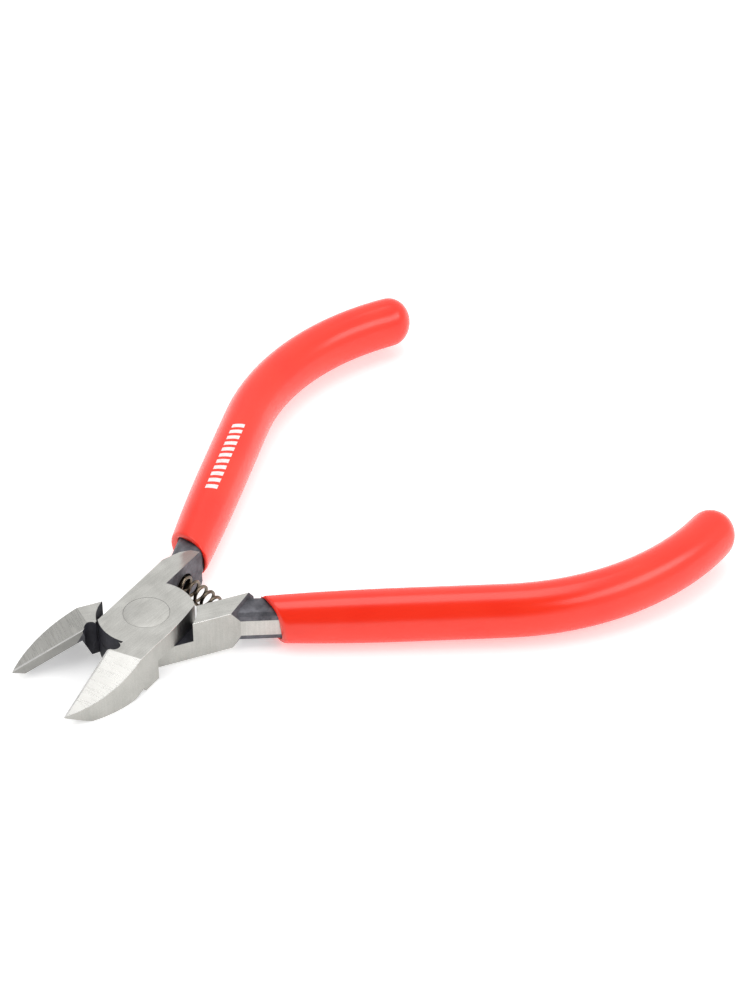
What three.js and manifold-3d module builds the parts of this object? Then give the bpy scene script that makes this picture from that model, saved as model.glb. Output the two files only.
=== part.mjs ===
// A small flush cutter: two lapped forged halves on a rivet, a coil spring between the handles and two
// dipped grips. Millimetres. The origin is on the pivot axis in the joint's underside, +Z up, +X towards the
// handles. Each half is drawn closed, with its cutting edge on the XZ plane, and is then turned open about
// the pivot.
import * as THREE from "three";
import { mergeVertices } from "three/addons/utils/BufferGeometryUtils.js";
import Module from "manifold-3d";

const wasm = await Module();
wasm.setup();
const rad = THREE.MathUtils.degToRad;

// ---- joint ----
const openAngle = rad(18); // how far each half stands open from the closed tool
const jointThickness = 7.4;
const lapGap = 0.1; // between the two lapped plates
const bossRadius = 8.2; // round end of each lapped plate
const recessClearance = 0.25; // from a boss to the shoulder that it turns beside
const backFlat = 5.8; // from the middle plane to the flat on a plate's handle side
const jawFlat = 6.2; // and to its jaw side, at the jaw
const jawFlatRear = 5.67; // the same at the rear
const jawFlatBow = 6.58; // control point of the bowed line between them
const rivetRadius = 3.9;
const rivetClearance = 0.05;

// ---- jaws ----
const tipReach = 23.7; // from the pivot to the tip
const jawShoulder = 9.5; // where the jaw's curved side becomes straight
const jawRoot = 5.3; // how near to the pivot the jaw's solid reaches
const noseReach = 3.1; // control point of the curved side, behind the tip
const noseWidth = 3.6;
const flankReach = 15.6; // and its second one, from the pivot
const upperBevelStart = 11; // from the pivot to where the upper jaw's top bevel begins
const lowerBevelStart = 9.8; // the lower jaw's
const tipDepth = 5.3; // how far a bevel has dropped at the tip
const bevelLean = rad(3.1); // fall of both bevels from the edge out to the side
const lowerTopLean = rad(4.5); // fall of the lower jaw's top face to its side
const noseHeight = 0.3; // blunt end left under the tip
const noseAngle = rad(27.5); // rise of the underside towards the tip
const edgeGap = 0.03; // from each cutting edge to the middle plane
const landHeight = 2.4; // narrow face under the cutting edge
const landAngle = rad(12); // its lean away from the other jaw
const reliefAngle = rad(39); // slope of the jaw's underside, from the land out to the side
const throatFoot = 9.4; // foot of the steep wall behind the underside relief
const throatAngle = rad(22); // its lean from upright
const notchCentre = 9.7; // round throat between the heel of the edge and the plate
const notchRadius = 1.05;
const notchWall = 1.02; // depth of its straight part
const notchRound = 0.42; // depth of the oval beyond it
const notchHeel = 1.5; // from its centre to the heel of the edge

// ---- handles ----
const handleFace = 1.6; // from the middle plane to a handle's flat inner face
const shoulderReach = 18.4; // end of the full-thickness shoulder
const upperShoulderEnd = [[12.9, backFlat], [16.1, 4.5], [17.6, 3.1], [18, handleFace]]; // its top's outline
const lowerShoulderEnd = [[12.9, backFlat], [17.6, handleFace]];
const shoulderLean = rad(27); // slope of the end faces from upright
const handleAngle = rad(19.13); // straight part of a handle, from the tool's axis
const handleOffset = -1.33; // from the pivot to the line of the handle's middle
const coreStart = 11; // along that line from its nearest point to the pivot
const bendStart = 60.5;
const bendRadius = 46.6;
const handleEnd = 107.4; // end of the grip, along the same line
const coreEndGap = 5; // grip material past the end of the steel
const coreOuter = 2.05; // steel handle, from its middle line outwards
const coreInner = 2.95; // and inwards
const coreHeight = 6.1;
const coreStripHeight = 3.1; // flat strip on its outer side
const coreCorner = 1.3; // rounding of the other corners

// ---- grips ----
const gripGap = 0.3; // between the steel handle and the sleeve
const gripStart = 12; // start of the sleeve's blank, before its mouth is cut
const gripMouth = 21; // the mouth crosses the handle's line here
const gripMouthLean = rad(8.4); // lean of the mouth from square to the tool's axis
const gripMouthRake = rad(6.6); // its lean in height, the top nearer to the pivot
const gripMouthRadius = 3.8;
const gripRadius = 4.35;
const gripTaper = 22; // length over which the sleeve widens from its mouth
const gripEndRound = 4.2; // length of the rounded end
const gripFlatness = 1.115; // height over width

// ---- spring ----
const springSeat = 13.2; // from the pivot to the mouth of each spring pocket
const springHeight = 3.3; // above the underside
const pocketDepth = 3.1;
const pocketLean = rad(8); // each pocket leans away from the pivot as it goes in
const springRadius = 1.95; // outside of the coils
const springClearance = 0.25; // from the coils to the wall of each pocket
const springWire = 0.6;
const springEndGap = 0.2; // from the last coil to the bottom of its pocket
const closedTurns = 2; // nearly touching coils, at each end
const closedGap = 0.03; // between them
const openTurns = 7.66;

// ---- fineness of the curves, and how far a cutting solid runs past what it cuts ----
const overshoot = 1;
const blockSize = 80; // of the solids that cut a flat face
const roundSides = 48;
const recessSides = 72;
const bossCurveSteps = 24;
const jawCurveSteps = 20;
const barStep = 3.4; // along a handle
const barCurveSteps = 3;
const sleeveSides = 24;
const endRings = 5;
const pocketSides = 32;
const wireCurveSteps = 3; // in each quarter of the wire's section
const coilSteps = 12; // in each turn

// ---- small tools ----
function solidOf(geometry) {
  const g = geometry.clone();
  g.deleteAttribute("normal");
  g.deleteAttribute("uv");
  const merged = mergeVertices(g, 1e-4);
  const vertProperties = merged.attributes.position.array;
  const triVerts = new Uint32Array(merged.index.array);
  return new wasm.Manifold(new wasm.Mesh({ numProp: 3, vertProperties, triVerts }));
}

function geometryOf(solid) {
  const mesh = solid.getMesh();
  const g = new THREE.BufferGeometry();
  g.setAttribute("position", new THREE.BufferAttribute(mesh.vertProperties, 3));
  g.setIndex(new THREE.BufferAttribute(mesh.triVerts, 1));
  return g;
}

// A prism of an outline in the XY plane, from one height to another.
function prism(shape, low, high, curveSegments = 1) {
  const g = new THREE.ExtrudeGeometry(shape, { depth: high - low, bevelEnabled: false, curveSegments });
  return solidOf(g.translate(0, 0, low));
}

function cylinder(radius, low, high, segments = roundSides) {
  const g = new THREE.CylinderGeometry(radius, radius, high - low, segments);
  return solidOf(g.rotateX(Math.PI / 2).translate(0, 0, (low + high) / 2));
}

// A large block whose one face passes through a point and looks along the reverse of the normal given.
function halfSpace(point, normal) {
  const up = new THREE.Vector3(0, 0, 1);
  const turn = new THREE.Quaternion().setFromUnitVectors(up, normal.clone().normalize());
  const g = new THREE.BoxGeometry(blockSize, blockSize, blockSize).translate(0, 0, blockSize / 2);
  return solidOf(g.applyQuaternion(turn).translate(point.x, point.y, point.z));
}

// Mirrors an upper-half solid's geometry across the middle plane, and for the lap also top to bottom.
function flipped(solid, acrossMiddle, topToBottom) {
  if (!acrossMiddle && !topToBottom) return solid;
  const g = geometryOf(solid);
  if (acrossMiddle) g.scale(1, -1, 1);
  if (topToBottom) g.scale(1, 1, -1).translate(0, 0, jointThickness);
  if (acrossMiddle !== topToBottom) {
    const index = g.index.array;
    for (let i = 0; i < index.length; i += 3) {
      [index[i + 1], index[i + 2]] = [index[i + 2], index[i + 1]];
    }
  }
  return solidOf(g);
}

// ---- the line of a handle ----
// The point at a distance along the upper handle's middle line and at an offset to its outer side.
function onHandle(distance, offset) {
  const straight = Math.min(distance, bendStart);
  const turned = Math.max(distance - bendStart, 0) / bendRadius;
  const heading = handleAngle - turned;
  const footX = -handleOffset * Math.sin(handleAngle);
  const footY = handleOffset * Math.cos(handleAngle);
  let x = footX + straight * Math.cos(handleAngle);
  let y = footY + straight * Math.sin(handleAngle);
  x += bendRadius * (Math.sin(handleAngle) - Math.sin(heading));
  y += bendRadius * (Math.cos(heading) - Math.cos(handleAngle));
  return [x - offset * Math.sin(heading), y + offset * Math.cos(heading)];
}

// Bends a straight geometry, whose X is distance and whose Y is offset, along the handle at mid thickness.
function alongHandle(geometry) {
  const p = geometry.attributes.position;
  for (let i = 0; i < p.count; i++) {
    const [x, y] = onHandle(p.getX(i), p.getY(i));
    p.setXYZ(i, x, y, p.getZ(i) + jointThickness / 2);
  }
  return geometry;
}

// A straight bar with its section in (offset, height), from one distance along the handle to another.
function bar(section, from, to) {
  const g = new THREE.ExtrudeGeometry(section, {
    depth: to - from,
    steps: Math.ceil((to - from) / barStep),
    bevelEnabled: false,
    curveSegments: barCurveSteps,
  });
  g.applyMatrix4(new THREE.Matrix4().set(0, 0, 1, from, 1, 0, 0, 0, 0, 1, 0, 0, 0, 0, 0, 1));
  return g;
}

// The steel handle's section, grown by a gap for the sleeve around it.
function coreSection(grow) {
  const outer = coreOuter + grow;
  const inner = coreInner + grow;
  const half = coreHeight / 2 + grow;
  const strip = coreStripHeight / 2;
  const corner = coreCorner + grow;
  const s = new THREE.Shape();
  s.moveTo(outer, -strip);
  s.lineTo(outer, strip);
  s.quadraticCurveTo(outer, half, outer - (half - strip), half);
  s.lineTo(-inner + corner, half);
  s.absarc(-inner + corner, half - corner, corner, Math.PI / 2, Math.PI, false);
  s.absarc(-inner + corner, corner - half, corner, Math.PI, 1.5 * Math.PI, false);
  s.lineTo(outer - (half - strip), -half);
  s.quadraticCurveTo(outer, -half, outer, -strip);
  return s;
}

// ---- the halves ----
const lapHeight = jointThickness / 2;
const recessRadius = bossRadius + recessClearance;

// The lapped plate: a boss with a flat on its handle side and a gently bowed side towards the jaw.
function plateShape() {
  const front = Math.PI - Math.asin(backFlat / bossRadius);
  const jawSide = Math.PI + Math.asin(jawFlat / bossRadius);
  const rear = -Math.asin(jawFlatRear / bossRadius);
  const s = new THREE.Shape();
  s.moveTo(bossRadius * Math.cos(front), backFlat);
  s.absarc(0, 0, bossRadius, front, jawSide, false);
  s.quadraticCurveTo(0, -jawFlatBow, bossRadius * Math.cos(rear), -jawFlatRear);
  s.absarc(0, 0, bossRadius, rear, Math.PI - front, false);
  return s;
}

// The full-thickness shoulder between the joint and the steel handle. Its end is a row of faces that slope
// out from the top's outline down to the middle, and the same from the underside up.
function shoulderSolid(isLower) {
  const s = new THREE.Shape();
  s.moveTo(rivetRadius + rivetClearance, handleFace);
  s.lineTo(shoulderReach, handleFace);
  s.lineTo(shoulderReach, backFlat);
  s.lineTo(rivetRadius + rivetClearance, backFlat);
  const end = isLower ? lowerShoulderEnd : upperShoulderEnd;
  let solid = prism(s, 0, jointThickness);
  for (let i = 1; i < end.length; i++) {
    const along = new THREE.Vector2(end[i][0] - end[i - 1][0], end[i][1] - end[i - 1][1]).normalize();
    const flat = Math.cos(shoulderLean);
    const up = Math.sin(shoulderLean);
    const outward = new THREE.Vector3(-along.y * flat, along.x * flat, up);
    solid = solid.subtract(halfSpace(new THREE.Vector3(...end[i], jointThickness), outward));
    solid = solid.subtract(halfSpace(new THREE.Vector3(...end[i], 0), outward.setZ(-up)));
  }
  return solid;
}

// The jaw in plan: a straight mating side, a round throat and a curved outer side.
function jawShape() {
  const s = new THREE.Shape();
  s.moveTo(-tipReach, -edgeGap);
  s.bezierCurveTo(noseReach - tipReach, -noseWidth, -flankReach, -jawFlat, -jawShoulder, -jawFlat);
  s.lineTo(-jawRoot, -jawFlat);
  s.lineTo(-jawRoot, -notchWall - notchRound);
  s.lineTo(notchRadius - notchCentre, -notchWall);
  s.absellipse(-notchCentre, edgeGap - notchRound, notchRadius, notchWall, 0, Math.PI, true);
  s.lineTo(-notchCentre - notchHeel, -edgeGap);
  return s;
}

// Cuts the top bevel, the land under the edge, the underside relief and the nose into a jaw.
function jawSolid(isLower) {
  const bevelStart = isLower ? lowerBevelStart : upperBevelStart;
  const fall = tipDepth / (tipReach - bevelStart);
  const edgeWay = new THREE.Vector3(1, 0, fall).normalize();
  const bevelTop = new THREE.Vector3(-bevelStart, 0, jointThickness);
  const bevelOut = new THREE.Vector3(0, -Math.cos(bevelLean), -Math.sin(bevelLean));
  const tipEdge = new THREE.Vector3(-tipReach, -edgeGap, jointThickness - tipDepth);
  const landDown = new THREE.Vector3(0, -Math.sin(landAngle), -Math.cos(landAngle));
  const landFoot = tipEdge.clone().addScaledVector(landDown, landHeight / Math.cos(landAngle));
  const reliefOut = new THREE.Vector3(0, -Math.cos(reliefAngle), -Math.sin(reliefAngle));
  const relief = halfSpace(landFoot, edgeWay.clone().cross(reliefOut));
  const throatWay = new THREE.Vector3(-Math.cos(throatAngle), 0, -Math.sin(throatAngle));
  const throat = halfSpace(new THREE.Vector3(-throatFoot, 0, 0), throatWay);
  const noseWay = new THREE.Vector3(-Math.sin(noseAngle), 0, -Math.cos(noseAngle));
  const nose = halfSpace(tipEdge.clone().setZ(tipEdge.z - noseHeight), noseWay);
  const jaw = prism(jawShape(), 0, jointThickness, jawCurveSteps)
    .subtract(halfSpace(bevelTop, bevelOut.cross(edgeWay)))
    .subtract(halfSpace(tipEdge, edgeWay.clone().cross(landDown)))
    .subtract(relief.intersect(throat))
    .subtract(nose);
  if (!isLower) return jaw;
  const topWay = new THREE.Vector3(0, -Math.sin(lowerTopLean), Math.cos(lowerTopLean));
  return jaw.subtract(halfSpace(new THREE.Vector3(0, 0, jointThickness), topWay));
}

function springPocket() {
  const radius = springRadius + springClearance;
  const g = new THREE.CylinderGeometry(radius, radius, 2 * pocketDepth, pocketSides);
  return solidOf(g.rotateZ(-pocketLean).translate(springSeat, handleFace, springHeight));
}

// One steel half: plate on its own side of the lap, recess for the other plate, jaw, shoulder and handle.
function halfSolid(isLower) {
  const top = prism(plateShape(), lapHeight + lapGap / 2, jointThickness, bossCurveSteps);
  const innerSide = halfSpace(new THREE.Vector3(0, handleFace, 0), new THREE.Vector3(0, -1, 0));
  const steelBar = solidOf(alongHandle(bar(coreSection(0), coreStart, handleEnd - coreEndGap)));
  const core = steelBar.subtract(innerSide);
  const recess = cylinder(recessRadius, -overshoot, lapHeight + lapGap / 2, recessSides);
  const shoulder = shoulderSolid(isLower).add(core).subtract(recess);
  const jawRecess = flipped(recess, false, isLower);
  const jaw = flipped(jawSolid(isLower), isLower, false).subtract(jawRecess);
  const lapped = flipped(top.add(shoulder), isLower, isLower);
  const bore = cylinder(rivetRadius + rivetClearance, -overshoot, jointThickness + overshoot);
  return lapped.add(jaw).subtract(flipped(springPocket(), isLower, false)).subtract(bore);
}

// ---- the grips ----
// A dipped sleeve: a turned blank with a tapered mouth and a round end, bent along the handle and hollowed.
function gripSolid(isLower) {
  const profile = [new THREE.Vector2(0, gripStart), new THREE.Vector2(gripMouthRadius, gripStart)];
  const widened = gripMouth + gripTaper;
  const steps = Math.ceil((handleEnd - gripEndRound - widened) / barStep);
  profile.push(new THREE.Vector2(gripMouthRadius, gripMouth));
  for (let i = 0; i <= steps; i++) {
    const at = THREE.MathUtils.lerp(widened, handleEnd - gripEndRound, i / steps);
    profile.push(new THREE.Vector2(gripRadius, at));
  }
  for (let i = 1; i <= endRings; i++) {
    const a = (i / endRings) * (Math.PI / 2);
    const radius = i < endRings ? gripRadius * Math.cos(a) : 0;
    profile.push(new THREE.Vector2(radius, handleEnd - gripEndRound + gripEndRound * Math.sin(a)));
  }
  const g = new THREE.LatheGeometry(profile, sleeveSides).rotateZ(-Math.PI / 2).scale(1, 1, gripFlatness);
  const hollowEnd = handleEnd - coreEndGap + gripGap;
  const hollow = solidOf(alongHandle(bar(coreSection(gripGap), coreStart, hollowEnd)));
  const mouth = new THREE.Vector3(...onHandle(gripMouth, 0), jointThickness / 2);
  const aheadX = -Math.cos(gripMouthLean);
  const ahead = new THREE.Vector3(aheadX, Math.sin(gripMouthLean), -Math.tan(gripMouthRake));
  const sleeve = solidOf(alongHandle(g)).subtract(halfSpace(mouth, ahead)).subtract(hollow);
  return flipped(sleeve, isLower, false);
}

// ---- the spring ----
// Its middle line runs straight out of both pockets and bows between them, so it is an arc with straight
// ends. The coils wind like a right-hand thread.
class SpringWire extends THREE.Curve {
  constructor() {
    super();
    const mouth = new THREE.Vector2(springSeat, handleFace).rotateAround(new THREE.Vector2(), openAngle);
    const bow = openAngle - pocketLean;
    this.bowRadius = mouth.y / Math.sin(bow);
    this.bowCentre = mouth.x - this.bowRadius * Math.cos(bow);
    this.bowLength = 2 * bow * this.bowRadius;
    this.seated = pocketDepth - springEndGap - springWire / 2;
    this.turns = openTurns + 2 * closedTurns;
    this.closedLength = closedTurns * (springWire + closedGap);
  }
  // How far along the spring's middle line the wire is after some turns.
  rise(turn) {
    const whole = this.bowLength + 2 * this.seated;
    if (turn < closedTurns) return (this.closedLength * turn) / closedTurns;
    const left = this.turns - turn;
    if (left < closedTurns) return whole - (this.closedLength * left) / closedTurns;
    return this.closedLength + ((whole - 2 * this.closedLength) * (turn - closedTurns)) / openTurns;
  }
  getPoint(t) {
    const turn = t * this.turns;
    const along = this.rise(turn) - this.seated - this.bowLength / 2;
    const bowed = THREE.MathUtils.clamp(along, -this.bowLength / 2, this.bowLength / 2);
    const a = bowed / this.bowRadius;
    const coil = springRadius - springWire / 2;
    const out = this.bowRadius + coil * Math.cos(2 * Math.PI * turn);
    const x = this.bowCentre + out * Math.cos(a) - (along - bowed) * Math.sin(a);
    const y = out * Math.sin(a) + (along - bowed) * Math.cos(a);
    return new THREE.Vector3(x, y, springHeight - coil * Math.sin(2 * Math.PI * turn));
  }
}

function springGeometry() {
  const wire = new THREE.Shape().absarc(0, 0, springWire / 2, 0, 2 * Math.PI, false);
  const path = new SpringWire();
  return new THREE.ExtrudeGeometry(wire, {
    extrudePath: path,
    steps: Math.round(coilSteps * path.turns),
    curveSegments: wireCurveSteps,
  });
}

// ---- the assembly ----
const groundSteel = { color: 0xc8c7c2, roughness: 0.35, metalness: 1 };
const springSteel = { color: 0x8a8378, roughness: 0.3, metalness: 1 };
const redVinyl = { color: 0xf23a28, roughness: 0.3, metalness: 0 };

function piece(name, geometry, finish) {
  const mesh = new THREE.Mesh(geometry, new THREE.MeshStandardMaterial(finish));
  mesh.name = name;
  return mesh;
}

const cutter = new THREE.Group();

const upper = new THREE.Group();
upper.rotation.z = openAngle;
upper.add(piece("upper_half", geometryOf(halfSolid(false)), groundSteel));
upper.add(piece("upper_grip", geometryOf(gripSolid(false)), redVinyl));
cutter.add(upper);

const lower = new THREE.Group();
lower.rotation.z = -openAngle;
lower.add(piece("lower_half", geometryOf(halfSolid(true)), groundSteel));
lower.add(piece("lower_grip", geometryOf(gripSolid(true)), redVinyl));
cutter.add(lower);

cutter.add(piece("pivot_rivet", geometryOf(cylinder(rivetRadius, 0, jointThickness)), groundSteel));
cutter.add(piece("return_spring", springGeometry(), springSteel));

export default cutter;
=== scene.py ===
import math

import bmesh
import bpy
from mathutils import Matrix, Vector


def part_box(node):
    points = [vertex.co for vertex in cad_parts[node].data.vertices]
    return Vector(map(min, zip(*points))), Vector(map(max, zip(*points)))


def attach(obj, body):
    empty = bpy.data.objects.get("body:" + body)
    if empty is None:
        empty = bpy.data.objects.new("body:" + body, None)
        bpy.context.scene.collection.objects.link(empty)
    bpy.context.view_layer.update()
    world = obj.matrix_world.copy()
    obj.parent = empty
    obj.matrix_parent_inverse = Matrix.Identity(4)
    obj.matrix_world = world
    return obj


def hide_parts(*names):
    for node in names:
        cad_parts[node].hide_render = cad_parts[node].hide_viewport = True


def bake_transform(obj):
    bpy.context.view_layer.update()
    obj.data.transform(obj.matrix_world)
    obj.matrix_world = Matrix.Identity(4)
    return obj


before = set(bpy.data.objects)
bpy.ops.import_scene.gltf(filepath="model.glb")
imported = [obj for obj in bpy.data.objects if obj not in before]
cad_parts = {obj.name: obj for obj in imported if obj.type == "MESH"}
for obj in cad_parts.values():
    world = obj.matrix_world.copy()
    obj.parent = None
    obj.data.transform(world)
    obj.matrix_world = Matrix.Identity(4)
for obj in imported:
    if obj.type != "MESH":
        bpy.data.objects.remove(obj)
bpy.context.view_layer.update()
scene = bpy.context.scene

# --------------------------------------------------------------------------------------------------------
# The two steel halves. Each is one drop forging of chrome vanadium steel: a lapped plate, a jaw, a shoulder
# and a tang inside its grip. It is blackened all over, and a belt then grinds it bright on its flats, its
# outer sides and the bevel and land of its cutting edge. What the belt doesn't reach stays black oxide.
# --------------------------------------------------------------------------------------------------------
MM = 0.001
OPEN_ANGLE = math.radians(18)  # how far each half stands open from the closed tool
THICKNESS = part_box("upper_half")[1].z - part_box("upper_half")[0].z
MIDDLE = THICKNESS / 2
EDGE_BREAK = 0.1 * MM  # sharp edges are broken by the belt and by tumbling
# The honed strip along the cutting edge is coloured near white: a painted highlight.
HONED_WIDTH = 0.36 * MM  # the cutting edge is honed a little steeper, which leaves a narrow bright line
HONED_DROP = 0.1 * MM
MERGE = 0.002 * MM
FLAT_ENOUGH = math.radians(0.4)  # facets nearer than this to one plane are one face
CORNER = math.radians(24)  # edges sharper than this, between two ground faces, are broken
SHADE_SHARP = math.radians(11)
FLAT, BEVEL, SIDE, WORN, SHADED_OXIDE, LAND, RUBBED_AND_HIGHLIGHT, FLANK = range(8)  # a half's finishes, as its material slots
BELT_FINISHES = (FLAT, BEVEL, SIDE, FLANK)
BLADE_START = -8.6 * MM  # the jaw's blade lies beyond this, along X with the tool closed
SIDE_FACE = 5.1 * MM  # the ground outer sides lie further than this from the middle plane
LAND_END = -12.4 * MM  # the land is ground no nearer to the throat than this
LAND_END_SLOPE = 0.5
LAND_BACK = -0.8 * MM  # and its leaning face lies within this of the middle plane
JOINT_END = 8.9 * MM
SHOULDER_END = 15 * MM
HANDLE_ANGLE = math.radians(19.13)  # straight part of a handle, from the tool's axis
STRIP_HALF = 0.4 * MM  # the ground strip along a tang has its middle within this of the half's middle
LEVEL = 0.985  # a face is level when its normal's height is more than this
UPRIGHT = 0.05  # and upright when it is less than this
GRIND_HEADING = math.radians(6)  # the belt's lines on the flat faces, from the tool's axis
FLAT_SCRATCH = (4 * MM, 0.24 * MM, 4 * MM)  # length, width and depth of the belt's lines
BEVEL_SCRATCH = (4 * MM, 0.26 * MM, 4 * MM)
SIDE_SCRATCH = (0.22 * MM, 0.22 * MM, 6 * MM)
RUBBED_SCRATCH = (3 * MM, 3 * MM, 3 * MM)
FLAT_SHADES = ("#B7B6B1", "#D3D2CD")


def colour(hex_code):
    """An sRGB hex value as linear RGBA."""
    channels = [int(hex_code[i : i + 2], 16) / 255 for i in (1, 3, 5)]
    return [c / 12.92 if c <= 0.04045 else ((c + 0.055) / 1.055) ** 2.4 for c in channels] + [1.0]


def add_node(material, kind, links=None, **settings):
    """Adds a node. Settings are its properties, the values of its sockets or the stops of a colour ramp."""
    node = material.node_tree.nodes.new(kind)
    for name, value in settings.items():
        if name == "stops":
            for stop, (position, hex_code) in zip(node.color_ramp.elements, value):
                stop.position, stop.color = position, colour(hex_code)
        elif hasattr(node, name):
            setattr(node, name, value)
        else:
            next(s for s in node.inputs if s.name.replace(" ", "_").lower() == name).default_value = value
    for name, source in (links or {}).items():
        material.node_tree.links.new(source, node.inputs[name])
    return node


def new_material(name):
    material = bpy.data.materials.new(name)
    material.use_nodes = True
    material.node_tree.nodes.clear()
    return material


# Belt-ground hardened steel: parallel scratches a few hundredths of a millimetre apart, drawn here about
# five times as coarse so that they show. They spread the reflection across themselves, which makes it satin.
def ground_steel(name, dark, light, turn, scratch, rough, depth=0.4):
    material = new_material(name)
    place = add_node(material, "ShaderNodeTexCoord").outputs["Object"]
    along = add_node(material, "ShaderNodeMapping", {"Vector": place}, vector_type="TEXTURE",
                     rotation=(0, 0, turn), scale=scratch)
    fine = add_node(material, "ShaderNodeTexNoise", {"Vector": along.outputs[0]}, scale=1.0, detail=3.0,
                    roughness=0.62)
    broad = add_node(material, "ShaderNodeTexNoise", {"Vector": place}, scale=1 / (3.85 * MM), detail=2.0)
    grain = add_node(material, "ShaderNodeTexNoise", {"Vector": place}, scale=1 / (0.19 * MM), detail=2.0)
    mixed = add_node(material, "ShaderNodeMath", {0: fine.outputs[0], 1: broad.outputs[0]}, operation="ADD")
    mixed = add_node(material, "ShaderNodeMath", {0: mixed.outputs[0], 1: grain.outputs[0]}, operation="ADD")
    shade = add_node(material, "ShaderNodeMapRange", {"Value": mixed.outputs[0]}, from_min=1.15,
                     from_max=1.85)
    tone = add_node(material, "ShaderNodeValToRGB", {"Fac": shade.outputs[0]},
                    stops=((0, dark), (1, light)))
    gloss = add_node(material, "ShaderNodeMapRange", {"Value": fine.outputs[0]}, from_min=0.35,
                     from_max=0.65, to_min=rough - 0.06, to_max=rough + 0.08)
    bump = add_node(material, "ShaderNodeBump", {"Height": fine.outputs[0]}, strength=depth,
                    distance=0.012 * MM)
    surface = {"Base Color": tone.outputs[0], "Roughness": gloss.outputs[0], "Normal": bump.outputs[0]}
    shader = add_node(material, "ShaderNodeBsdfPrincipled", surface, metallic=1.0)
    add_node(material, "ShaderNodeOutputMaterial", {"Surface": shader.outputs[0]})
    return material


# Black oxide on a forged surface: a thin blue-black skin, patchy where the forging scale was, and duller
# than the steel. A darker, non-metallic copy of it in the throat and round the joint is painted shade.
def black_oxide(name, dark, light, metallic, specular):
    material = new_material(name)
    place = add_node(material, "ShaderNodeTexCoord").outputs["Object"]
    patches = add_node(material, "ShaderNodeTexNoise", {"Vector": place}, scale=1 / (2.4 * MM), detail=5.0,
                       roughness=0.6)
    pits = add_node(material, "ShaderNodeTexNoise", {"Vector": place}, scale=1 / (0.38 * MM), detail=3.0)
    tone = add_node(material, "ShaderNodeValToRGB", {"Fac": patches.outputs[0]},
                    stops=((0.35, dark), (0.7, light)))
    gloss = add_node(material, "ShaderNodeMapRange", {"Value": pits.outputs[0]}, from_min=0.3, from_max=0.7,
                     to_min=0.48, to_max=0.66)
    height = add_node(material, "ShaderNodeMath", {0: patches.outputs[0], 1: pits.outputs[0]},
                      operation="ADD")
    bump = add_node(material, "ShaderNodeBump", {"Height": height.outputs[0]}, strength=0.7,
                    distance=0.05 * MM)
    surface = {"Base Color": tone.outputs[0], "Roughness": gloss.outputs[0], "Normal": bump.outputs[0]}
    shader = add_node(material, "ShaderNodeBsdfPrincipled", surface, metallic=metallic,
                      specular_ior_level=specular)
    add_node(material, "ShaderNodeOutputMaterial", {"Surface": shader.outputs[0]})
    return material


def closed_frame(point, side):
    """A point or direction with its half turned closed, and either half's handle at +Y and jaw at -Y."""
    turned = Matrix.Rotation(-side * OPEN_ANGLE, 3, "Z") @ point
    return Vector((turned.x, side * turned.y, turned.z))


def finish_of(face, side):
    """The finish on a face of a half, by where it lies and which way it looks."""
    at = closed_frame(face.calc_center_median(), side)
    way = closed_frame(face.normal, side)
    on_blade = at.x < BLADE_START
    if abs(way.z) > LEVEL and abs(at.z - MIDDLE) > 0.9 * MIDDLE:
        return BEVEL if on_blade and way.z > 0 and way.x < -0.2 else FLAT
    if on_blade:
        if way.z > 0.8:
            return BEVEL
        if way.y > 0.9 and at.y > LAND_BACK:
            return LAND if at.x + LAND_END_SLOPE * (MIDDLE - at.z) < LAND_END else WORN
        underside_cut = way.x < -0.3 and way.z < -0.3 and at.z < MIDDLE / 2
        return FLANK if way.y < -0.15 and abs(way.z) < 0.2 or underside_cut else SHADED_OXIDE
    upright = abs(way.z) < UPRIGHT
    outward = abs(way.y) > 0.8 and at.y * way.y > 0
    if upright and outward and abs(at.y) > SIDE_FACE and at.x < SHOULDER_END:
        return FLANK if at.x < JOINT_END else SIDE
    strip = Vector((-math.sin(HANDLE_ANGLE), math.cos(HANDLE_ANGLE), 0))
    if upright and way.dot(strip) > 0.995 and abs(at.z - MIDDLE) < STRIP_HALF:
        return SIDE
    # Unground faces short of the joint's end take the darker oxide, as painted shade.
    return SHADED_OXIDE if at.x < JOINT_END else WORN


def cut_faces(work, faces, point, normal):
    """Cuts some of the faces along a plane."""
    geometry = set(faces) | {e for f in faces for e in f.edges} | {v for f in faces for v in f.verts}
    bmesh.ops.bisect_plane(work, geom=list(geometry), dist=MERGE, plane_co=point, plane_no=normal)


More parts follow.
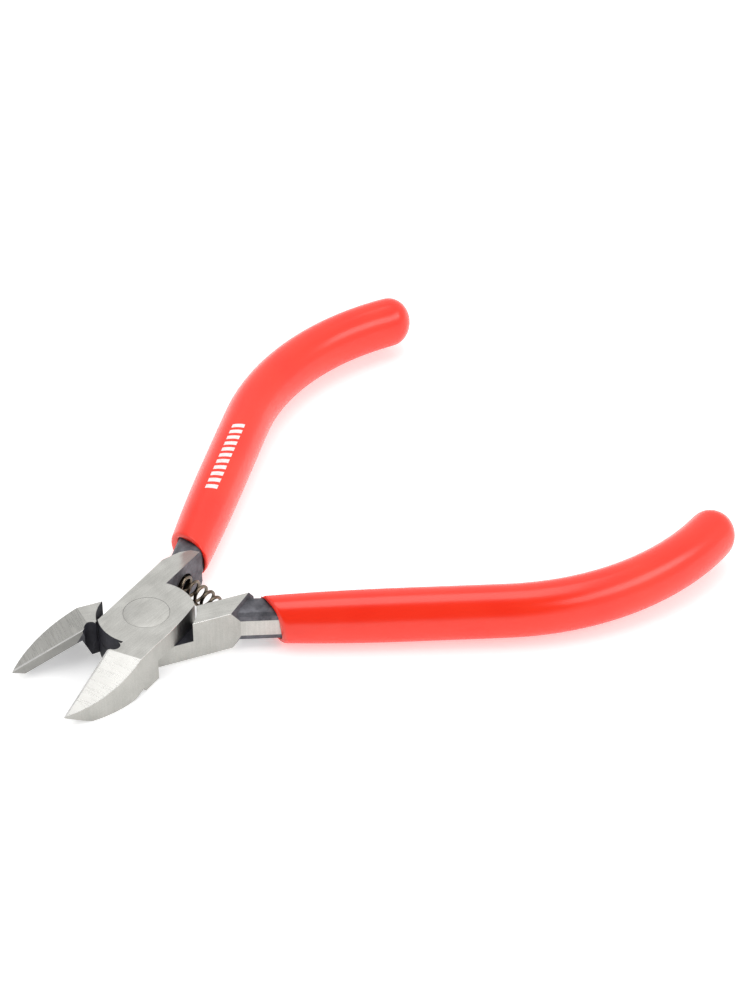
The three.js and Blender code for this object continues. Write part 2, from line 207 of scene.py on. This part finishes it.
def steel_half(word, side, finishes):
    work = bmesh.new()
    work.from_mesh(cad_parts[f"{word}_half"].data)
    bmesh.ops.remove_doubles(work, verts=work.verts, dist=MERGE)
    bmesh.ops.dissolve_limit(work, angle_limit=FLAT_ENOUGH, verts=work.verts, edges=work.edges)
    opened = Matrix.Rotation(side * OPEN_ANGLE, 3, "Z")
    land = [f for f in work.faces if finish_of(f, side) in (WORN, LAND)
            and closed_frame(f.normal, side).y > 0.9]
    cut_faces(work, land, opened @ Vector((LAND_END, 0, MIDDLE)), opened @ Vector((1, 0, -LAND_END_SLOPE)))
    bevel = [f for f in work.faces if finish_of(f, side) == BEVEL]
    cut_faces(work, bevel, opened @ Vector((0, -side * HONED_WIDTH, 0)), opened @ Vector((0, 1, 0)))
    for face in work.faces:
        face.smooth = True
        face.material_index = finish_of(face, side)
        # The honed strip along the edge takes the near-white finish, a painted highlight.
        if face.material_index == BEVEL and closed_frame(face.calc_center_median(), side).y > -HONED_WIDTH:
            face.material_index = RUBBED_AND_HIGHLIGHT
    # Honing lowers the bevel's edge where it meets the land.
    for vertex in work.verts:
        at = closed_frame(vertex.co, side)
        if {RUBBED_AND_HIGHLIGHT, LAND} <= {f.material_index for f in vertex.link_faces} and at.x < LAND_END:
            vertex.co.z -= HONED_DROP
    # The edges between ground faces are broken, apart from the ones under the blade.
    under = {v for v in work.verts if closed_frame(v.co, side).x < BLADE_START and v.co.z < MIDDLE / 4}
    corners = [e for e in work.edges if e.calc_face_angle() > CORNER and not under & set(e.verts)
               and all(f.material_index in BELT_FINISHES for f in e.link_faces)]
    made = bmesh.ops.bevel(work, geom=corners, offset=EDGE_BREAK, affect="EDGES", segments=2, profile=0.5,
                           clamp_overlap=True, material=-1)
    # The broken edges take the near-white finish too: a painted highlight on them.
    for face in made["faces"]:
        face.material_index = RUBBED_AND_HIGHLIGHT
    mesh = bpy.data.meshes.new(f"{word}_forging")
    work.to_mesh(mesh)
    work.free()
    mesh.set_sharp_from_angle(angle=SHADE_SHARP)
    piece = bpy.data.objects.new(f"{word}_forging", mesh)
    scene.collection.objects.link(piece)
    for finish in finishes:
        mesh.materials.append(finish)
    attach(piece, word)
    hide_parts(f"{word}_half")


worn_oxide = black_oxide("worn_black_oxide", "#515156", "#7A7A80", 0.8, 0.5)
# A darker copy of the oxide, not metallic and dull, for the throat and round the joint: painted shade.
oxide_painted_shade = black_oxide("deep_black_oxide", "#26262C", "#3C3C44", 0.0, 0.2)
for side, word in ((1, "upper"), (-1, "lower")):
    turn = side * OPEN_ANGLE
    flat = ground_steel(f"belt_ground_face_{word}", *FLAT_SHADES, turn - GRIND_HEADING, FLAT_SCRATCH, 0.34)
    # The two jaws' bevels are a lit and a shaded copy of one finish: the upper jaw's lighter shades are a
    # painted highlight.
    bevel_light_and_shade = ("#D8D7D3", "#E4E3DF") if side > 0 else ("#C2C1BC", "#CFCEC9")
    bevel = ground_steel(f"belt_ground_bevel_{word}", *bevel_light_and_shade, turn + math.pi / 2, BEVEL_SCRATCH, 0.3, 0.15)
    edge_on = ground_steel(f"belt_ground_side_{word}", "#B5B4AF", "#CBCAC5", turn, SIDE_SCRATCH, 0.36)
    # The land is given darker shades than the other ground faces: painted shade.
    land = ground_steel(f"ground_land_{word}", "#94938F", "#A5A4A0", turn, SIDE_SCRATCH, 0.36)
    # The honed strip and the broken edges are rubbed bright, and their near-white shades are also a painted
    # highlight.
    rubbed_and_highlight = ground_steel(f"rubbed_edge_{word}", "#EFEEEB", "#F8F7F5", turn, RUBBED_SCRATCH, 0.24, 0.1)
    # The flank, on the outer side of the blade and of the joint, is a darker copy of the side finish:
    # painted shade.
    flank = ground_steel(f"belt_ground_flank_{word}", "#A6A5A0", "#BAB9B4", turn, SIDE_SCRATCH, 0.36)
    steel_half(word, side, [flat, bevel, edge_on, worn_oxide, oxide_painted_shade, land, rubbed_and_highlight, flank])

# --------------------------------------------------------------------------------------------------------
# The pivot rivet. A soft steel pin, peened over in both plates and ground flush with them, so that all that
# shows is a hairline ring.
# --------------------------------------------------------------------------------------------------------
RIVET_BREAK = 0.02 * MM
RIVET_SIDES = 96
RIM = math.radians(60)  # its two rims are its only edges sharper than this
RIM_SHARP = math.radians(20)

low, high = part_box("pivot_rivet")
radius = (high.x - low.x) / 2
work = bmesh.new()
bmesh.ops.create_cone(work, cap_ends=True, segments=RIVET_SIDES, radius1=radius, radius2=radius,
                      depth=high.z - low.z)
bmesh.ops.translate(work, verts=work.verts, vec=(0, 0, (low.z + high.z) / 2))
rims = [e for e in work.edges if e.calc_face_angle() > RIM]
bmesh.ops.bevel(work, geom=rims, offset=RIVET_BREAK, affect="EDGES", segments=3, profile=0.5, material=-1)
for face in work.faces:
    face.smooth = True
mesh = bpy.data.meshes.new("peened_rivet")
work.to_mesh(mesh)
work.free()
mesh.set_sharp_from_angle(angle=RIM_SHARP)
rivet = bpy.data.objects.new("peened_rivet", mesh)
scene.collection.objects.link(rivet)
mesh.materials.append(
    ground_steel("belt_ground_rivet", *FLAT_SHADES, OPEN_ANGLE - GRIND_HEADING, FLAT_SCRATCH, 0.34))
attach(rivet, "lower")
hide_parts("pivot_rivet")

# --------------------------------------------------------------------------------------------------------
# The return spring. Round music wire, coiled and tempered to a bronze-grey, with two closed coils at each
# end. Its ends sit in blind pockets in the handles, so it bows a little away from the pivot.
# --------------------------------------------------------------------------------------------------------
WIRE = 0.6 * MM
WIRE_SIDES = 14
STEPS_PER_TURN = 36
SPRING_SEAT = 13.2 * MM  # from the pivot to the mouth of each pocket
HANDLE_FACE = 1.6 * MM  # from the middle plane to a handle's inner face
POCKET_DEPTH = 3.1 * MM
POCKET_LEAN = math.radians(8)  # a pocket's axis leans this far from square to its handle's inner face
SPRING_END_GAP = 0.2 * MM
CLOSED_TURNS = 2
CLOSED_PITCH = 0.63 * MM
OPEN_TURNS = 7.66
WIRE_END_SHARP = math.radians(50)

low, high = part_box("return_spring")
coil = (high.z - low.z - WIRE) / 2
spring_height = (high.z + low.z) / 2
bow = OPEN_ANGLE - POCKET_LEAN  # the spring's axis is an arc that turns by this on each side of the middle
mouth = Matrix.Rotation(OPEN_ANGLE, 3, "Z") @ Vector((SPRING_SEAT, HANDLE_FACE, 0))
bow_radius = mouth.y / math.sin(bow)
bow_centre = mouth.x - bow_radius * math.cos(bow)
bow_half = bow * bow_radius
whole = 2 * (bow_half + POCKET_DEPTH - SPRING_END_GAP - WIRE / 2)
open_pitch = (whole - 2 * CLOSED_TURNS * CLOSED_PITCH) / OPEN_TURNS

# The wire is spun as a straight right-hand coil about Y: closed coils, open coils and closed coils again.
work = bmesh.new()
bmesh.ops.create_circle(work, cap_ends=True, segments=WIRE_SIDES, radius=WIRE / 2)
bmesh.ops.rotate(work, verts=work.verts, cent=(0, 0, 0), matrix=Matrix.Rotation(math.pi / 2, 3, "Z"))
bmesh.ops.translate(work, verts=work.verts, vec=(coil, -whole / 2, 0))
tip = work.faces[:] + work.edges[:] + work.verts[:]
for turns, pitch in ((CLOSED_TURNS, CLOSED_PITCH), (OPEN_TURNS, open_pitch), (CLOSED_TURNS, CLOSED_PITCH)):
    steps = round(turns * STEPS_PER_TURN)
    spun = bmesh.ops.spin(work, geom=tip, cent=(0, 0, 0), axis=(0, 1, 0), dvec=(0, pitch * turns / steps, 0),
                          angle=2 * math.pi * turns, steps=steps, use_merge=False)
    tip = spun["geom_last"]
# Then it is laid along its arc, straight beyond the pockets' mouths.
for vertex in work.verts:
    x, y, z = vertex.co
    arc = max(-bow_half, min(bow_half, y))
    a, past = arc / bow_radius, y - arc
    out = bow_radius + x
    vertex.co = (bow_centre + out * math.cos(a) - past * math.sin(a),
                 out * math.sin(a) + past * math.cos(a), spring_height + z)
bmesh.ops.recalc_face_normals(work, faces=work.faces)
for face in work.faces:
    face.smooth = True
mesh = bpy.data.meshes.new("coil_spring")
work.to_mesh(mesh)
work.free()
mesh.set_sharp_from_angle(angle=WIRE_END_SHARP)
spring = bpy.data.objects.new("coil_spring", mesh)
scene.collection.objects.link(spring)

# Oil-tempered spring wire: smooth and bright, with the straw to bronze tint of tempering and faint marks
# from drawing.
wire_steel = new_material("oil_tempered_spring_wire")
place = add_node(wire_steel, "ShaderNodeTexCoord").outputs["Object"]
tint = add_node(wire_steel, "ShaderNodeTexNoise", {"Vector": place}, scale=1 / (2 * MM), detail=3.0)
marks = add_node(wire_steel, "ShaderNodeTexNoise", {"Vector": place}, scale=1 / (0.24 * MM), detail=3.0)
tone = add_node(wire_steel, "ShaderNodeValToRGB", {"Fac": tint.outputs[0]},
                stops=((0.35, "#51473D"), (0.68, "#85796A")))
gloss = add_node(wire_steel, "ShaderNodeMapRange", {"Value": marks.outputs[0]}, from_min=0.3, from_max=0.7,
                 to_min=0.14, to_max=0.24)
bump = add_node(wire_steel, "ShaderNodeBump", {"Height": marks.outputs[0]}, strength=0.3,
                distance=0.01 * MM)
surface = {"Base Color": tone.outputs[0], "Roughness": gloss.outputs[0], "Normal": bump.outputs[0]}
shader = add_node(wire_steel, "ShaderNodeBsdfPrincipled", surface, metallic=1.0)
add_node(wire_steel, "ShaderNodeOutputMaterial", {"Surface": shader.outputs[0]})
mesh.materials.append(wire_steel)
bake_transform(spring)
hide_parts("return_spring")

# --------------------------------------------------------------------------------------------------------
# The grips. Each tang is dipped hot in liquid vinyl and cured, which leaves a thick glossy skin with a
# rounded lip at its mouth, a slight swell along its length and a blunt drip at the far end.
# --------------------------------------------------------------------------------------------------------
HANDLE_OFFSET = -1.33 * MM  # from the pivot to the line of the handle's middle
BEND_START = 60.5 * MM
BEND_RADIUS = 46.6 * MM
HANDLE_END = 107.4 * MM
GRIP_MOUTH = 21.0 * MM
MOUTH_SLANT = math.tan(math.radians(8.4) + HANDLE_ANGLE)  # the mouth's lean across the handle
MOUTH_RAKE = 0.13  # and in height
MOUTH_RADIUS = 3.8 * MM
GRIP_RADIUS = 4.3 * MM
GRIP_TAPER = 22 * MM
GRIP_FLATNESS = 1.115
LIP = 0.55 * MM  # rounding of the lip
END_ROUND = 4.2 * MM
CORE_CENTRE = -0.45 * MM  # the tang's hole, across the handle
CORE_HALF = 2.56 * MM
CORE_HALF_HEIGHT = 3.12 * MM
CORE_SQUARED = 0.48  # power of the superellipse that outlines the hole
CORE_END = 102.6 * MM
LIP_FLARE = 0.55  # the hole's edge is rounded by this share of the lip
AROUND = 48
HOLE_RINGS, FLARE_RINGS, LIP_RINGS, SKIN_RINGS, END_RINGS = 30, 4, 5, 35, 8


def on_handle(distance, offset, height, side):
    """The point at a distance along a handle's middle line, an offset to its outer side and a height."""
    straight = min(distance, BEND_START)
    turned = max(distance - BEND_START, 0) / BEND_RADIUS
    heading = HANDLE_ANGLE - turned
    x = -HANDLE_OFFSET * math.sin(HANDLE_ANGLE) + straight * math.cos(HANDLE_ANGLE)
    y = HANDLE_OFFSET * math.cos(HANDLE_ANGLE) + straight * math.sin(HANDLE_ANGLE)
    x += BEND_RADIUS * (math.sin(HANDLE_ANGLE) - math.sin(heading)) - offset * math.sin(heading)
    y += BEND_RADIUS * (math.cos(heading) - math.cos(HANDLE_ANGLE)) + offset * math.cos(heading)
    return Matrix.Rotation(side * OPEN_ANGLE, 3, "Z") @ Vector((x, side * y, MIDDLE + height))


def skin_radius(distance):
    widening = min(max((distance - GRIP_MOUTH) / GRIP_TAPER, 0), 1)
    return MOUTH_RADIUS + (GRIP_RADIUS - MOUTH_RADIUS) * widening * (2 - widening)


def mouth_shift(distance, offset, height):
    """How far a ring near the mouth is shifted along the handle, so that the mouth is cut aslant."""
    near_mouth = max(0.0, 1 - (distance - GRIP_MOUTH) / GRIP_TAPER)
    return (offset * MOUTH_SLANT - height * MOUTH_RAKE) * near_mouth


def skin_point(distance, turn, side, inset):
    """A point of the grip's outer skin, turned from the outer side (0) over the top (90 degrees)."""
    radius = skin_radius(distance) - inset
    offset, height = radius * math.cos(turn), radius * GRIP_FLATNESS * math.sin(turn)
    return on_handle(distance + mouth_shift(distance, offset, height), offset, height, side)


def hole_point(distance, turn, side, grow):
    """A point of the hole that holds the tang: a rounded rectangle, as a superellipse."""
    c, s = math.cos(turn), math.sin(turn)
    offset = CORE_CENTRE + (CORE_HALF + grow) * math.copysign(abs(c) ** CORE_SQUARED, c)
    height = (CORE_HALF_HEIGHT + grow) * math.copysign(abs(s) ** CORE_SQUARED, s)
    return on_handle(distance + mouth_shift(distance, offset, height), offset, height, side)


def grip_rings():
    """The rings of a grip, from the bottom of its hole out over the lip and back to its round end. Each is
    the outline that it lies on, its distance along the handle, and how far it is grown or inset."""
    for i in range(HOLE_RINGS + 1):
        yield hole_point, CORE_END + (GRIP_MOUTH + LIP - CORE_END) * i / HOLE_RINGS, 0.0
    for i in range(FLARE_RINGS + 1):
        a = math.pi / 2 * i / FLARE_RINGS
        yield hole_point, GRIP_MOUTH + LIP * (1 - math.sin(a)), LIP * LIP_FLARE * (1 - math.cos(a))
    for i in range(LIP_RINGS + 1):
        a = math.pi / 2 * i / LIP_RINGS
        yield skin_point, GRIP_MOUTH + LIP * (1 - math.cos(a)), LIP * (1 - math.sin(a))
    skin_start, skin_end = GRIP_MOUTH + LIP, HANDLE_END - END_ROUND
    for i in range(1, SKIN_RINGS + 1):
        yield skin_point, skin_start + (skin_end - skin_start) * i / SKIN_RINGS, 0.0
    for i in range(1, END_RINGS):
        a = math.pi / 2 * i / END_RINGS
        yield skin_point, HANDLE_END - END_ROUND * (1 - math.sin(a)), GRIP_RADIUS * (1 - math.cos(a))


def grip(side, name):
    work = bmesh.new()
    turn_of = work.verts.layers.float.new("turn")
    circle = bmesh.ops.create_circle(work, cap_ends=True, segments=AROUND, radius=1.0)["verts"]
    for vertex in circle:
        vertex[turn_of] = math.atan2(vertex.co.y, vertex.co.x)
    rings = list(grip_rings())
    ring = work.edges[:]
    outline, distance, change = rings[0]
    for vertex in circle:
        vertex.co = outline(distance, vertex[turn_of], side, change)
    for outline, distance, change in rings[1:]:
        grown = bmesh.ops.extrude_edge_only(work, edges=ring)["geom"]
        ring = [g for g in grown if isinstance(g, bmesh.types.BMEdge)]
        for vertex in (g for g in grown if isinstance(g, bmesh.types.BMVert)):
            vertex.co = outline(distance, vertex[turn_of], side, change)
    end = bmesh.ops.contextual_create(work, geom=ring)["faces"]
    bmesh.ops.poke(work, faces=end)
    pole = max(work.verts, key=lambda v: closed_frame(v.co, side).x)
    pole.co = on_handle(HANDLE_END, 0, 0, side)
    bmesh.ops.recalc_face_normals(work, faces=work.faces)
    for face in work.faces:
        face.smooth = True
    mesh = bpy.data.meshes.new(name)
    work.to_mesh(mesh)
    work.free()
    piece = bpy.data.objects.new(name, mesh)
    scene.collection.objects.link(piece)
    return piece


# Dipped PVC plastisol: a bright orange-red skin under its own gloss, with the faint waviness of a liquid
# that has set.
vinyl = new_material("dipped_red_vinyl")
place = add_node(vinyl, "ShaderNodeTexCoord").outputs["Object"]
waves = add_node(vinyl, "ShaderNodeTexNoise", {"Vector": place}, scale=1 / (9.1 * MM), detail=1.0)
dust = add_node(vinyl, "ShaderNodeTexNoise", {"Vector": place}, scale=1 / (0.53 * MM), detail=3.0)
tone = add_node(vinyl, "ShaderNodeValToRGB", {"Fac": waves.outputs[0]},
                stops=((0.3, "#FB2D16"), (0.7, "#FF351C")))
gloss = add_node(vinyl, "ShaderNodeMapRange", {"Value": dust.outputs[0]}, from_min=0.3, from_max=0.7,
                 to_min=0.2, to_max=0.26)
bump = add_node(vinyl, "ShaderNodeBump", {"Height": waves.outputs[0]}, strength=0.15, distance=0.2 * MM)
surface = {"Base Color": tone.outputs[0], "Roughness": gloss.outputs[0], "Normal": bump.outputs[0]}
shader = add_node(vinyl, "ShaderNodeBsdfPrincipled", surface, ior=1.54, specular_ior_level=0.52)
add_node(vinyl, "ShaderNodeOutputMaterial", {"Surface": shader.outputs[0]})

for side, word in ((1, "upper"), (-1, "lower")):
    sleeve = grip(side, f"{word}_vinyl_grip")
    sleeve.data.materials.append(vinyl)
    rounding = sleeve.modifiers.new("smooth_skin", "SUBSURF")
    rounding.levels = rounding.render_levels = 1
    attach(sleeve, word)
    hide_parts(f"{word}_grip")

# --------------------------------------------------------------------------------------------------------
# The printed mark on the upper grip. White ink, pad printed on the vinyl: a plain row of slanted bars.
# --------------------------------------------------------------------------------------------------------
PRINT_START, PRINT_END = 34 * MM, 55.5 * MM
PRINT_TURNS = (math.radians(84), math.radians(112))
BARS = 12
BAR_SHARE = 0.56  # of each bar's pitch
BAR_SLANT = 0.9 * MM
INK = 0.02 * MM  # the ink stands this proud, and its underside is as far inside the vinyl

work = bmesh.new()
pitch = (PRINT_END - PRINT_START) / BARS
for i in range(BARS):
    grid = bmesh.ops.create_grid(work, x_segments=2, y_segments=6, size=0.5)["verts"]
    for vertex in grid:
        across = vertex.co.y + 0.5
        distance = PRINT_START + pitch * (i + (vertex.co.x + 0.5) * BAR_SHARE) + BAR_SLANT * across
        turn = PRINT_TURNS[0] + (PRINT_TURNS[1] - PRINT_TURNS[0]) * across
        vertex.co = skin_point(distance, turn, 1, INK)
bmesh.ops.recalc_face_normals(work, faces=work.faces)
if sum(f.normal.z for f in work.faces) < 0:
    bmesh.ops.reverse_faces(work, faces=work.faces)
bmesh.ops.solidify(work, geom=work.faces[:], thickness=-2 * INK)
bmesh.ops.recalc_face_normals(work, faces=work.faces)
mesh = bpy.data.meshes.new("printed_bars")
work.to_mesh(mesh)
work.free()
bars = bpy.data.objects.new("printed_bars", mesh)
scene.collection.objects.link(bars)

# Pad-printing ink: thin, white and slightly chalky, a little uneven where the vinyl shows through.
ink = new_material("white_pad_print_ink")
place = add_node(ink, "ShaderNodeTexCoord").outputs["Object"]
cover = add_node(ink, "ShaderNodeTexNoise", {"Vector": place}, scale=1 / (0.67 * MM), detail=4.0)
tone = add_node(ink, "ShaderNodeValToRGB", {"Fac": cover.outputs[0]},
                stops=((0.3, "#F6DAD6"), (0.55, "#FBF7F6")))
gloss = add_node(ink, "ShaderNodeMapRange", {"Value": cover.outputs[0]}, from_min=0.3, from_max=0.7,
                 to_min=0.42, to_max=0.56)
surface = {"Base Color": tone.outputs[0], "Roughness": gloss.outputs[0]}
shader = add_node(ink, "ShaderNodeBsdfPrincipled", surface)
add_node(ink, "ShaderNodeOutputMaterial", {"Surface": shader.outputs[0]})
mesh.materials.append(ink)
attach(bars, "upper")

# --------------------------------------------------------------------------------------------------------
# The table. The tool is heavy at its jaws, so it rests on the jaws' undersides and on the front of the
# grips, and lies at a slight slope. Its joint is kept level here, so the table slopes instead.
# --------------------------------------------------------------------------------------------------------
FLOOR_SIZE = 3.0
JAW_CONTACT = -18 * MM  # along X, where the tool touches the table
GRIP_CONTACT = 41 * MM
FLOOR_GAP = 0.02 * MM

grip_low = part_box("upper_grip")[0].z
slope = math.atan2(-grip_low, GRIP_CONTACT - JAW_CONTACT)
work = bmesh.new()
bmesh.ops.create_grid(work, x_segments=1, y_segments=1, size=FLOOR_SIZE / 2)
bmesh.ops.rotate(work, verts=work.verts, cent=(0, 0, 0), matrix=Matrix.Rotation(slope, 3, "Y"))
bmesh.ops.translate(work, verts=work.verts, vec=(0, 0, JAW_CONTACT * math.tan(slope) - FLOOR_GAP))
mesh = bpy.data.meshes.new("table")
work.to_mesh(mesh)
work.free()
table = bpy.data.objects.new("table", mesh)
scene.collection.objects.link(table)

# Opal acrylic sheet, lit from below: clean, smooth and faintly reflecting.
acrylic = new_material("backlit_opal_acrylic")
shader = add_node(acrylic, "ShaderNodeBsdfPrincipled", base_color=colour("#F2F2F2"), roughness=0.5,
                  emission_color=colour("#FFFFFF"), emission_strength=0.42)
add_node(acrylic, "ShaderNodeOutputMaterial", {"Surface": shader.outputs[0]})
mesh.materials.append(acrylic)

# --------------------------------------------------------------------------------------------------------
# The camera: a long lens, looking down on the tool from the front of its jaws.
# --------------------------------------------------------------------------------------------------------
ELEVATION = math.radians(37.67)
HEADING = math.radians(50.16)
ROLL = math.radians(-0.42)
DISTANCE = 543.9 * MM
FOCAL_HEIGHTS = 3.0467  # focal length over the picture's height

target = Vector((54.8, 6.1, 0)) * MM
forward = Vector((math.cos(ELEVATION) * math.cos(HEADING), math.cos(ELEVATION) * math.sin(HEADING),
                  -math.sin(ELEVATION)))
level = Vector((math.sin(HEADING), -math.cos(HEADING), 0))
upward = level.cross(forward)
right = math.cos(ROLL) * level + math.sin(ROLL) * upward
upward = math.cos(ROLL) * upward - math.sin(ROLL) * level
lens = bpy.data.cameras.new("camera")
lens.sensor_width = 36
lens.lens = FOCAL_HEIGHTS * lens.sensor_width
lens.clip_start, lens.clip_end = 0.01, 10
camera = bpy.data.objects.new("camera", lens)
stand = Matrix((right, upward, -forward)).transposed().to_4x4()
stand.translation = target - DISTANCE * forward
camera.matrix_world = stand
scene.collection.objects.link(camera)
scene.camera = camera

# --------------------------------------------------------------------------------------------------------
# Soft studio light: a white tent, open and dark on the camera's side and dimmer at its back left, with one
# large softbox overhead and one to the right.
# --------------------------------------------------------------------------------------------------------
DIM_SIDES = (  # heading, elevation, inner and outer half angle in degrees, and how much darker
    (230, 38, 24, 48, 0.9),
    (97, 42, 12, 36, 0.42),
)


def toward(heading, elevation):
    heading, elevation = math.radians(heading), math.radians(elevation)
    return Vector((math.cos(elevation) * math.cos(heading), math.cos(elevation) * math.sin(heading),
                   math.sin(elevation)))


tent = bpy.data.worlds.new("white_tent")
scene.world = tent
tent.use_nodes = True
sky = tent.node_tree.nodes["Background"]
sky.inputs["Color"].default_value = colour("#FFFFFF")
way = add_node(tent, "ShaderNodeTexCoord").outputs["Generated"]
dimmed = []
for heading, elevation, inner, outer, depth in DIM_SIDES:
    facing = add_node(tent, "ShaderNodeVectorMath", {0: way}, operation="DOT_PRODUCT")
    facing.inputs[1].default_value = toward(heading, elevation)
    dim = add_node(tent, "ShaderNodeMapRange", {"Value": facing.outputs["Value"]},
                   interpolation_type="SMOOTHSTEP", from_min=math.cos(math.radians(outer)),
                   from_max=math.cos(math.radians(inner)), to_min=1.0, to_max=1 - depth)
    dimmed.append(dim.outputs[0])
strength = add_node(tent, "ShaderNodeMath", {0: dimmed[0], 1: dimmed[1]}, operation="MULTIPLY")
tent.node_tree.links.new(strength.outputs[0], sky.inputs["Strength"])
scene.view_settings.view_transform = "Standard"


def softbox(name, heading, elevation, distance, size, radiance):
    lamp = bpy.data.lights.new(name, "AREA")
    lamp.shape, lamp.size, lamp.size_y = "RECTANGLE", *size
    lamp.energy = radiance * math.pi * size[0] * size[1]
    holder = bpy.data.objects.new(name, lamp)
    holder.location = target + distance * toward(heading, elevation)
    holder.rotation_euler = (-toward(heading, elevation)).to_track_quat("-Z", "Y").to_euler()
    scene.collection.objects.link(holder)


softbox("overhead_softbox", heading=60, elevation=84, distance=1.1, size=(0.75, 0.75), radiance=1.7)
softbox("right_softbox", heading=290, elevation=36, distance=1.0, size=(0.9, 0.35), radiance=2.6)
